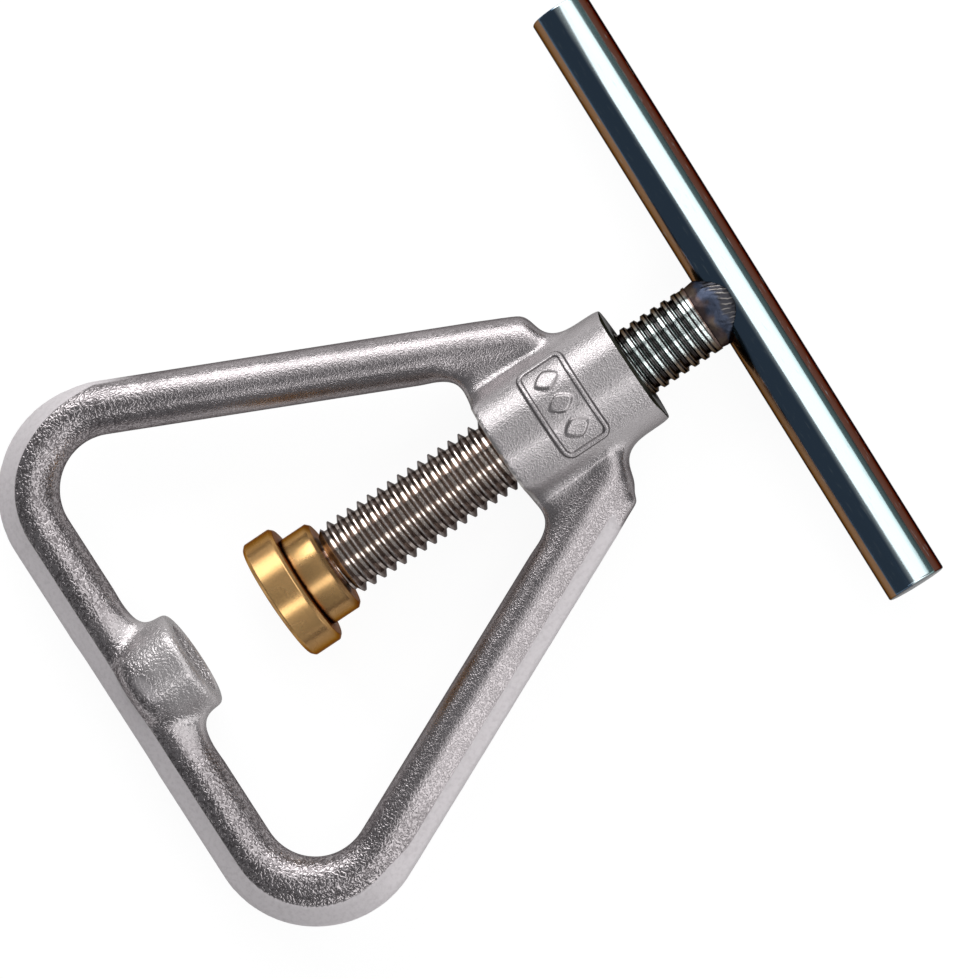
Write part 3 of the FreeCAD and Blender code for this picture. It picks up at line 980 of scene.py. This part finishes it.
@dataclass
class CastFrame(SubAssembly):
    """The casting: a boss for the screw, two arms, a base and the anvil cup in its middle."""

    body: Body = Body.FRAME
    slot: Slot = Slot.CAST
    stands_for: str = "frame"
    boss_radius: float = 10.5
    boss_length: float = 25.4
    boss_spare: float = 0.9
    boss_spare_low: float = 0.15
    facing_half: float = 10.2
    bore_radius: float = 5.44
    sink_radius: float = 7.0
    arm_radius: float = 4.35
    arm_angle: float = 25.0
    arm_side: float = 22.0
    arm_side_at: float = -32.4
    corner_radius: float = 13.3
    base_x: float = -94.7
    shoulder_x: float = -10.0
    shoulder_blend: float = 4.0
    crotch_blend: float = 2.5
    web_half: float = 3.5
    web_round: float = 2.0
    lip: float = 1.2
    lip_half: float = 1.5
    lip_slope: float = 3.2
    lip_rise: float = 2.0
    lip_end_x: float = -74.0
    arm_lip_rise: float = 0.5
    arm_lip_slope: float = 1.9
    arm_lip_thin: float = 0.7
    lip_side_shift: float = 1.0
    lip_end_gap: float = 1.5
    cup_rim_x: float = -85.2
    cup_rim_radius: float = 8.7
    cup_rim_round: float = 1.3
    cup_waist_radius: float = 8.2
    cup_back_depth: float = 3.2
    cup_bore_radius: float = 6.2
    cup_bore_depth: float = 6.0
    cup_floor_radius: float = 3.5
    cup_floor_depth: float = 2.0
    cup_foot_half: float = 12.2
    cup_foot_blend: float = 3.6
    cup_foot_thick_half: float = 3.0
    cup_foot_round: float = 1.6
    pad_half_width: float = 4.0
    pad_half_length: float = 7.0
    border_x: float = -12.6
    border_half_width: float = 4.3
    border_half_length: float = 7.9
    border_corner: float = 1.6
    border_line: float = 0.8
    border_height: float = 0.4
    stud_half_length: float = 1.6
    stud_half_width: float = 2.3
    stud_step: float = 4.4
    stud_height: float = 0.3
    voxel: float = 0.415
    rounds: int = 5
    blend_rounds: int = 98
    regrow: float = 0.06

    def slope(self) -> Flat:
        """The outward direction of the arm at +Y, along and across."""
        angle = math.radians(self.arm_angle)
        return math.sin(angle), math.cos(angle)

    def arm_y(self, x: float) -> float:
        """How far the arm's middle line is from the screw axis at x."""
        return self.arm_side - (x - self.arm_side_at) * math.tan(math.radians(self.arm_angle))

    def corner_centre(self, radius: float, base_at: float, shift: float) -> Flat:
        """The centre of a corner arc.

        Args:
            radius: The arc's radius.
            base_at: Where the base's line is, along the axis.
            shift: How far outside the arm's middle line the side line is.

        Returns:
            The centre, along and across.
        """
        out_x, out_y = self.slope()
        line_x = base_at + out_x * shift
        line_y = self.arm_y(base_at) + out_y * shift
        centre_x = base_at + radius
        return centre_x, (out_x * line_x + out_y * line_y - radius - out_x * centre_x) / out_y

    def sweep(self, section: Piece, radius: float, base_at: float, shift: float, end_x: float) -> Piece:
        """Sweep a section from the middle of the base round the corner and along the arm, on both sides.

        Args:
            section: A closed line in the plane y = 0.
            radius: The radius of the corner's path.
            base_at: Where the base's path is, along the axis.
            shift: How far outside the arm's middle line its path is.
            end_x: Where the arms are cut off.

        Returns:
            The swept piece, closed at its ends.
        """
        centre_x, centre_y = self.corner_centre(radius, base_at, shift)
        turn = 90.0 + self.arm_angle
        out_x, out_y = self.slope()
        reach = (end_x - centre_x) / out_y
        with editing(section):
            extrude(Vector((0, centre_y * MM, 0)))
            bpy.ops.mesh.spin(steps=56, angle=math.radians(turn), center=at(centre_x, centre_y), axis=UP)
            extrude(Vector((out_y, -out_x, 0)) * reach * MM)
        face_out(section)
        modify(section, "MIRROR", use_axis=(False, True, False), merge_threshold=1e-6)
        with editing(section):
            bpy.ops.mesh.bisect(plane_co=at(end_x), plane_no=ALONG, use_fill=True, clear_outer=True)
        face_out(section)
        return section

    def bar(self) -> Piece:
        """The round bar of the arms, corners and base.

        Returns:
            The bar.
        """
        bpy.ops.object.select_all(action="DESELECT")
        bpy.ops.mesh.primitive_circle_add(
            vertices=72, radius=self.arm_radius * MM, location=at(self.base_x), rotation=(math.pi / 2, 0, 0))
        circle = settle(bpy.context.object, "bar")
        return self.sweep(circle, self.corner_radius, self.base_x, 0.0, self.shoulder_x)

    def lip_plate(self, name: str, slope: float, rise: float, end_x: float) -> Piece:
        """A lip along the outside of the base and corners, cast a little off centre.

        Args:
            name: The name of the new piece.
            slope: How far its sloped sides reach inwards.
            rise: How much thicker it gets over that reach, on each side.
            end_x: Where it is cut off on the arms.

        Returns:
            The lip.
        """
        outer = self.base_x - self.arm_radius - self.lip
        top = self.lip_half + rise
        inner = outer + self.arm_radius + 0.2
        points = [(outer, self.lip_half), (outer + slope, top), (inner, top)]
        points += [(x, -z) for x, z in reversed(points)]
        section = draw_line(name, [at(x, 0, z) for x, z in points], closed=True)
        radius = self.corner_radius + self.arm_radius
        lip = self.sweep(section, radius, outer, self.arm_radius + self.arm_lip_rise, end_x)
        with editing(lip):
            bpy.ops.transform.translate(value=(0.0, -self.lip_side_shift * MM, 0.0))
        return lip

    def web(self) -> Piece:
        """The webs that join the boss to both arms.

        Returns:
            Both webs.
        """
        low_x = -self.boss_length + 0.4
        reach = self.arm_radius / math.cos(math.radians(self.arm_angle))
        crotch_x = low_x - self.crotch_blend
        crotch_y = self.arm_y(crotch_x) - reach
        blend = self.shoulder_blend
        outline = arc((self.shoulder_x + blend, self.boss_radius + blend), blend, 180, 270, 8)
        outline += [(self.shoulder_x + blend, self.boss_radius / 2), (low_x, self.boss_radius / 2)]
        gap = crotch_y - self.boss_radius
        outline += [
            (low_x, self.boss_radius + 0.25 * gap), (low_x - 0.12 * self.crotch_blend, self.boss_radius + 0.55 * gap),
            (low_x - 0.45 * self.crotch_blend, self.boss_radius + 0.85 * gap), (crotch_x, crotch_y),
            (crotch_x, self.arm_y(crotch_x)), (self.shoulder_x, self.boss_radius + blend + 1.0),
        ]
        web = slab("web", outline, -self.web_half, self.web_half)
        bevel(web, self.web_round)
        modify(web, "MIRROR", use_axis=(False, True, False), use_mirror_merge=False)
        face_out(web)
        return web

    def cup(self) -> Piece:
        """The cup's outside, turned, with its back sunk into the base.

        Returns:
            The solid cup.
        """
        rim_base = self.cup_rim_x - self.cup_rim_round
        flat_radius = self.cup_rim_radius - self.cup_rim_round
        dome = [(math.radians(angle), self.cup_waist_radius) for angle in range(0, 75, 8)]
        profile = [(self.cup_rim_x, 0.0), *arc((rim_base, flat_radius), self.cup_rim_round, 0, 90, 6)]
        profile += [(self.base_x - self.cup_back_depth * math.sin(a), radius * math.cos(a)) for a, radius in dome]
        profile += [(self.base_x - self.cup_back_depth, 0.0)]
        return lathe("cup", profile, 96)

    def cup_foot(self) -> Piece:
        """The plate that runs the cup out along the base, with a concave curve on each side.

        Returns:
            The plate.
        """
        inner_x = self.base_x + self.arm_radius
        blend = self.cup_foot_blend
        side = [(self.base_x, self.cup_foot_half + 1.0), (inner_x, self.cup_foot_half + 1.0)]
        side += arc((inner_x + blend, self.cup_waist_radius + blend), blend, 180, 270, 8)
        outline = side + [(x, -y) for x, y in reversed(side)]
        plate = slab("cup_foot", outline, -self.cup_foot_thick_half, self.cup_foot_thick_half)
        bevel(plate, self.cup_foot_round)
        return plate

    def pad(self) -> Piece:
        """The flat pad under the boss."""
        corners = [(self.border_x + sx * self.pad_half_length, sy * self.pad_half_width)
                   for sx, sy in ((-1, -1), (1, -1), (1, 1), (-1, 1))]
        return slab("pad", corners, -self.boss_radius - 0.1, 0.0)

    def machine(self, casting: Piece) -> None:
        """Face both ends of the boss, bore it through and open the cup.

        Args:
            casting: The casting.
        """
        near = self.boss_radius + 0.4
        profile = [
            (6.0, 0.0), (6.0, near), (-0.8, near), (0.0, near - 0.8), (0.0, self.sink_radius),
            (-0.9, self.bore_radius), (-self.boss_length + 0.9, self.bore_radius),
            (-self.boss_length, self.sink_radius), (-self.boss_length, 0.0),
        ]
        cut(casting, lathe("boss_tool", profile, 160))
        profile = [
            (-self.boss_length, 0.0), (-self.boss_length, near - 0.8), (-self.boss_length + 0.8, near),
            (-self.boss_length - 3.0, near), (-self.boss_length - 3.0, 0.0),
        ]
        facing = lathe("facing_tool", profile, 160)
        # the webs run on past this end, so the tool stops short of them
        for side in (-1, 1):
            with editing(facing):
                bpy.ops.mesh.bisect(plane_co=at(0, side * self.facing_half), plane_no=(0, side, 0), use_fill=True,
                                    clear_outer=True)
        face_out(facing)
        cut(casting, facing)
        floor_x = self.cup_rim_x - self.cup_bore_depth
        edge = 0.2
        profile = [
            (self.cup_rim_x + 2.0, 0.0), (self.cup_rim_x + 2.0, self.cup_bore_radius + edge + 2.0),
            (self.cup_rim_x - edge, self.cup_bore_radius), (floor_x, self.cup_bore_radius),
            (floor_x - self.cup_floor_depth, self.cup_floor_radius), (floor_x - self.cup_floor_depth, 0.0),
        ]
        cut(casting, lathe("cup_tool", profile, 128))

    def relief(self, x: float, across: float) -> float:
        """Height of the border and studs.

        Args:
            x: Millimetres along the axis.
            across: Millimetres across, seen from above.

        Returns:
            The height above the boss, in millimetres.
        """
        along = abs(x - self.border_x) - self.border_half_width + self.border_corner
        side = abs(across) - self.border_half_length + self.border_corner
        outside = math.hypot(max(along, 0.0), max(side, 0.0)) + min(max(along, side), 0.0) - self.border_corner
        middle = -self.border_line / 2
        line = 1 - smooth_step(abs(outside - middle), 0.2, 0.62)
        height = max(self.border_height * line, 0.12 * (1 - smooth_step(outside, -0.7, 0.2)))
        for number in (-1, 0, 1):
            along = (abs(x - self.border_x) / self.stud_half_width) ** 1.4
            stud = (along + (abs(across - number * self.stud_step) / self.stud_half_length) ** 1.4) ** 0.7
            height += self.stud_height * (1 - smooth_step(stud, 0.72, 1.08))
        return height

    def emboss(self, casting: Piece) -> None:
        """Raise the border and its three plain studs on the front of the boss.

        Args:
            casting: The casting.
        """
        reach_x = self.border_half_width + 1.2
        reach_y = self.border_half_length + 1.0

        def in_front(place: Vector) -> bool:
            """Whether a vertex lies under the border."""
            x, y, z = measured(place)
            return z > 0 and abs(x - self.border_x) < reach_x and abs(y) < reach_y

        with editing(casting, in_front):
            bpy.ops.mesh.subdivide(number_cuts=2)
        # the steep sides of the border and studs are marked here, to be painted dark as painted shade
        relief_shade = casting.data.attributes.new("relief_shade", "FLOAT", "POINT")
        for vertex, mark in zip(casting.data.vertices, relief_shade.data):
            if in_front(vertex.co):
                x, y, z = measured(vertex.co)
                height = self.relief(x, y)
                rise = math.hypot(self.relief(x + 0.1, y) - height, self.relief(x, y + 0.1) - height) / 0.1
                mark.value = smooth_step(rise, 0.3, 1.0)
                vertex.co += Vector((0, y, z)) / math.hypot(y, z) * height * MM

    def flank_depth(self, x: float, y: float) -> Flat:
        """How far a place lies inside the outline of the lip, and how far along the arm.

        Args:
            x: Millimetres along the axis.
            y: Millimetres across.

        Returns:
            The depth, and the way past the corner's end, negative before it.
        """
        outer = self.base_x - self.arm_radius - self.lip
        radius = self.corner_radius + self.arm_radius
        centre_x, centre_y = self.corner_centre(radius, outer, self.arm_radius + self.arm_lip_rise)
        out_x, out_y = self.slope()
        x, y = x - centre_x, abs(y + self.lip_side_shift) - centre_y
        past = out_y * x - out_x * y
        if y <= 0 and x < 0 and past < 0:
            return radius + x, -radius
        if past < 0:
            return radius - math.hypot(x, y), past
        return radius - (out_x * x + out_y * y), past

    def mark_flank(self, casting: Piece) -> None:
        """Write how much each vertex belongs to the ground flank into the mesh.

        Args:
            casting: The casting.
        """
        marks = casting.data.attributes.new("flank", "FLOAT", "POINT")
        for vertex, mark in zip(casting.data.vertices, marks.data):
            x, y, z = measured(vertex.co)
            depth, past = self.flank_depth(x, y)
            reach = self.lip_slope - 1.1 * smooth_step(past, -3.0, 5.0)
            fade = 1 - smooth_step(x, -19.0, -13.0)
            if y > 0:
                reach = max(reach - 2.6 * smooth_step(past, -12.0, 4.0), 0.4)
                fade = 1 - smooth_step(past, -8.0, 18.0)
            share = fade * (1 - smooth_step(depth, reach - 0.2, reach + 0.2))
            # the gate was ground off where the cup meets the base
            gate = math.hypot((x + 93.6 + 0.2 * y) / 3.0, (y + 1.0) / 7.0) if z > 0 else 2.0
            mark.value = max(share, 0.48 * (1 - smooth_step(gate, 0.2, 1.0)))

    def soften(self, casting: Piece) -> None:
        """Blend the arms into the boss and the cup into the base, more than the rest of the casting.

        Args:
            casting: The casting.
        """
        group = casting.vertex_groups.new(name="blends")
        for vertex in casting.data.vertices:
            x, y, _ = measured(vertex.co)
            y = abs(y)
            shoulder = within(y, (7.2, 9.4), (15.0, 20.0)) * smooth_step(x, -31.0, -27.0)
            foot = within(y, (3.5, 6.5), (13.0, 17.0)) * smooth_step(x, -97.5, -95.0)
            back = within(x, (-101.5, -99.0), (-94.0, -91.5)) * (1 - smooth_step(y, 9.0, 13.0))
            lug = smooth_step(x, -18.0, -14.0) * smooth_step(y, 11.0, 13.0)
            weight = max(shoulder, 0.3 * lug, 0.6 * back, foot * (1 - smooth_step(x, -88.5, -85.5)))
            if weight > 0:
                group.add([vertex.index], weight, "REPLACE")
        modify(casting, "SMOOTH", factor=0.5, iterations=self.blend_rounds, vertex_group="blends")

    def mark_machined(self, casting: Piece) -> None:
        """Give the faces that were turned or bored the second material.

        Args:
            casting: The casting.
        """
        picked = []
        for face in casting.data.polygons:
            x, y, z = measured(face.center)
            radius = math.hypot(y, z)
            ends = radius < self.boss_radius + 0.3 and abs(face.normal.x) > 0.3
            ends = ends and (x > -1.0 or -self.boss_length - 0.1 < x < -self.boss_length + 1.0)
            bored = radius < self.sink_radius and x > -self.boss_length - 0.1
            picked.append(int(ends or bored))
        casting.data.polygons.foreach_set("material_index", picked)

    def build(self) -> Piece:
        """Model the casting.

        Returns:
            The finished casting, without its finish.
        """
        boss = lathe("boss", [
            (self.boss_spare, 0.0), (self.boss_spare, self.boss_radius),
            (-self.boss_length - self.boss_spare_low, self.boss_radius),
            (-self.boss_length - self.boss_spare_low, 0.0),
        ])
        casting = join("frame_casting", [
            self.bar(), self.lip_plate("base_lip", self.lip_slope, self.lip_rise, self.lip_end_x),
            self.lip_plate("arm_lip", self.arm_lip_slope, self.arm_lip_thin, self.shoulder_x - self.lip_end_gap),
            boss, self.web(), self.cup(), self.cup_foot(), self.pad(),
        ])
        modify(casting, "REMESH", mode="VOXEL", voxel_size=self.voxel * MM)
        modify(casting, "SMOOTH", factor=0.5, iterations=self.rounds)
        self.soften(casting)
        modify(casting, "DISPLACE", strength=self.regrow * MM, mid_level=0.0)
        self.mark_flank(casting)
        self.machine(casting)
        self.emboss(casting)
        shade(casting, 40.0)
        return casting


@dataclass
class HandleBar(SubAssembly):
    """The plain round bar across the top of the screw."""

    body: Body = Body.SCREW
    slot: Slot = Slot.BAR
    stands_for: str = "handle_bar"
    radius: float = 5.0
    length: float = 109.0
    chamfer: float = 0.3
    x: float = 19.8
    lean: float = 1.6

    def build(self) -> Piece:
        """Model the bar with softened ends, a little out of square with the screw.

        Returns:
            The finished bar.
        """
        bar = rod_across("handle_rod", self.x, self.radius, self.length, self.lean, 160)
        bevel(bar, self.chamfer)
        shade(bar)
        return bar


@dataclass
class HandleWeld(SubAssembly):
    """The bead that joins screw and bar, rippled where the weld ran round it."""

    body: Body = Body.SCREW
    slot: Slot = Slot.WELD
    stands_for: str = "handle_weld"
    shank_radius: float = 5.5
    toe_x: float = 13.0
    end_x: float = 19.2
    bar_x: float = 19.8
    bar_radius: float = 5.0
    lean: float = 1.6
    ripple: float = 0.07
    voxel: float = 0.14

    def build(self) -> Piece:
        """Model the bead as a slim collar that is cut to the bar's saddle.

        Returns:
            The finished bead.
        """
        shank, toe, end = self.shank_radius, self.toe_x, self.end_x
        bead = lathe("weld_bead", [
            (toe, shank - 0.1), (toe + 0.3, shank + 0.16), (toe + 1.2, shank + 0.3), (toe + 2.6, shank + 0.42),
            (end - 2.6, shank + 0.42), (end - 1.5, shank + 0.3), (end - 0.6, shank), (end, shank - 0.35),
            (end, shank - 1.8), (toe, shank - 1.8),
        ], 160)
        cut(bead, rod_across("bar_tool", self.bar_x, self.bar_radius - 0.06, 30.0, self.lean, 96))
        modify(bead, "REMESH", mode="VOXEL", voxel_size=self.voxel * MM)
        modify(bead, "SMOOTH", factor=0.5, iterations=8)
        self.roughen(bead)
        shade(bead, 60.0)
        return bead

    def roughen(self, bead: Piece) -> None:
        """Push the bead's outside a little in and out, where it flowed unevenly.

        Args:
            bead: The bead.
        """
        for vertex in bead.data.vertices:
            x, y, z = measured(vertex.co)
            radius = math.hypot(y, z)
            if radius > self.shank_radius - 1.2:
                push = self.ripple * noise.noise(Vector((x, y, z)) * 0.9)
                vertex.co += Vector((0, y, z)) / radius * push * MM


@dataclass
class PressureFoot(SubAssembly):
    """The turned brass foot on the end of the screw."""

    body: Body = Body.FOOT
    slot: Slot = Slot.BRASS
    stands_for: str = "pressure_foot"
    top_x: float = -57.9
    barrel_x: float = -63.3
    face_x: float = -69.0
    flange_radius: float = 10.6
    barrel_radius: float = 8.0
    bore_radius: float = 4.1
    bore_end_x: float = -65.5
    chamfer: float = 0.6
    edge_round: float = 0.08

    def build(self) -> Piece:
        """Turn the foot, with crisp chamfers.

        Returns:
            The finished foot.
        """
        c, r, flange, barrel = self.chamfer, self.edge_round, self.flange_radius, self.barrel_radius
        face, step, top = self.face_x, self.barrel_x, self.top_x
        foot = lathe("brass_foot", [
            (face, 0.0), (face, flange - c - r), (face + r, flange - c + r), (face + c - r, flange - r),
            (face + c + r, flange), (step - c - r, flange), (step - c + r, flange - r), (step - r, flange - c + r),
            (step, flange - c - r), (step, barrel + 0.25), (step + 0.08, barrel - 0.05), (step + 0.3, barrel),
            (top - c, barrel), (top - 0.05, barrel - c + 0.05), (top, barrel - c - 0.1), (top, self.bore_radius),
            (self.bore_end_x, self.bore_radius), (self.bore_end_x, 0.0),
        ], 192)
        shade(foot, 18.0)
        return foot


@dataclass
class Studio:
    """Pale floor, soft lamps and the camera at the photograph's angle."""

    lens: float = 6300.0
    shift_x: float = 24.0933
    shift_y: float = 20.0979
    distance: float = 1009.1433
    tilt_x: float = -0.0531
    tilt_y: float = -0.1283
    roll: float = 0.5839
    sensor: float = 36.0
    image_height: int = 979

    def camera(self) -> None:
        """Place the camera, from how the axis and the boss's face lie in the photograph."""
        tilt = Vector((self.tilt_x, self.tilt_y, 0.0))
        turn = Matrix.Rotation(tilt.length, 3, tilt.normalized()) @ Matrix.Rotation(self.roll, 3, "Z")
        facing = turn.transposed()
        data = bpy.data.cameras.new("camera")
        data.sensor_width = self.sensor
        data.lens = self.lens / self.image_height * self.sensor
        data.clip_end = 10.0
        camera = bpy.data.objects.new("camera", data)
        bpy.context.scene.collection.objects.link(camera)
        offset = facing @ Vector((-self.shift_x, -self.shift_y, self.distance)) * MM
        camera.matrix_world = Matrix.Translation(at(0) + offset) @ facing.to_4x4()
        bpy.context.scene.camera = camera

    def lamp(self, name: str, direction: Vector, distance: float, size: Flat, light: float) -> None:
        """Hang a soft lamp.

        Args:
            name: Its name.
            direction: Where it is, seen from the object.
            distance: How far away, in metres.
            size: Its width and height, in metres.
            light: How bright its face is, where 1 is white.
        """
        data = bpy.data.lights.new(name, "AREA")
        data.shape = "RECTANGLE"
        data.size, data.size_y = size
        data.energy = light * math.pi * size[0] * size[1]
        lamp = bpy.data.objects.new(name, data)
        bpy.context.scene.collection.objects.link(lamp)
        way = direction.normalized()
        lamp.location = way * distance
        lamp.rotation_mode = "QUATERNION"
        lamp.rotation_quaternion = way.to_track_quat("Z", "X")

    def floor(self) -> None:
        """Lay the floor, white to the camera and in reflections, with a faint shadow."""
        bpy.ops.object.select_all(action="DESELECT")
        bpy.ops.mesh.primitive_circle_add(vertices=64, radius=3.0, fill_type="NGON", location=(0, 0, 0))
        floor = settle(bpy.context.object, "studio_floor")
        material = bpy.data.materials.new("studio_floor")
        material.use_nodes = True
        wiring = Wiring(material.node_tree)
        wiring.tree.nodes.remove(wiring.shader)
        path = wiring.node("LightPath")
        glossy, clear, direct = (
            wiring.given(path, name) for name in ("Is Glossy Ray", "Is Transmission Ray", "Is Camera Ray"))
        mirrored = wiring.math("MAXIMUM", glossy, clear)
        dull = wiring.node("BsdfDiffuse", Color=(0.8, 0.8, 0.8))
        # metal shows the same pale floor, with a deeper shadow under the object
        pale = wiring.node("BsdfDiffuse", Color=wiring.mix(mirrored, (0.13, 0.13, 0.13), (0.6, 0.6, 0.6)))
        white = wiring.node("Emission", Color=(1.0, 1.0, 1.0), Strength=0.92 - mirrored * 0.62)
        shown = wiring.node("AddShader")
        choice = wiring.node("MixShader", Fac=wiring.math("MAXIMUM", direct, mirrored))
        surface = wiring.tree.nodes["Material Output"].inputs["Surface"]
        for socket, shader in (
            (shown.inputs[0], pale), (shown.inputs[1], white), (choice.inputs[1], dull), (choice.inputs[2], shown),
            (surface, choice),
        ):
            wiring.feed(socket, shader.outputs[0])
        floor.data.materials.append(material)

    def sky(self) -> None:
        """A dim studio room, the same all round."""
        world = bpy.data.worlds.new("studio")
        bpy.context.scene.world = world
        world.use_nodes = True
        world.node_tree.nodes["Background"].inputs["Color"].default_value = (0.17, 0.172, 0.178, 1.0)

    def build(self) -> None:
        """Set up camera, floor, lamps and room."""
        bpy.context.scene.view_settings.view_transform = "Standard"
        self.camera()
        self.floor()
        self.sky()
        self.lamp("overhead_strip", Vector((0.65, 0.1, 1.0)), 0.8, (1.0, 0.75), 1.05)
        self.lamp("window", Vector((0.0, -0.54, 1.0)), 0.8, (0.2, 0.7), 1.9)
        self.lamp("left_softbox", Vector((0.3, 1.0, 0.68)), 0.8, (0.5, 0.8), 3.1)
        self.lamp("right_softbox", Vector((0.3, -1.0, 0.36)), 0.8, (1.0, 0.4), 1.5)


def main() -> None:
    """Build every sub-assembly, dress it and report it."""
    logging.basicConfig(level=logging.INFO, format="%(name)s %(message)s")
    Studio().build()
    effects = Effects()
    cast, turned, screw, plated, weld, brass = (finish.make(effects) for finish in (
        CastSteel(), TurnedSteel(), ScrewSteel(), PlatedSteel(), WeldSteel(), TurnedBrass()))
    CastFrame().install(cast, turned)
    HandleBar().install(plated)
    HandleWeld().install(weld)
    PressureFoot().install(brass)
    for node, material in (("spindle", screw), ("foot_snap_ring", turned)):
        dress(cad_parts[node], [material])
        log.info("%s: carried over", node)


if __name__ == "__main__":
    main()
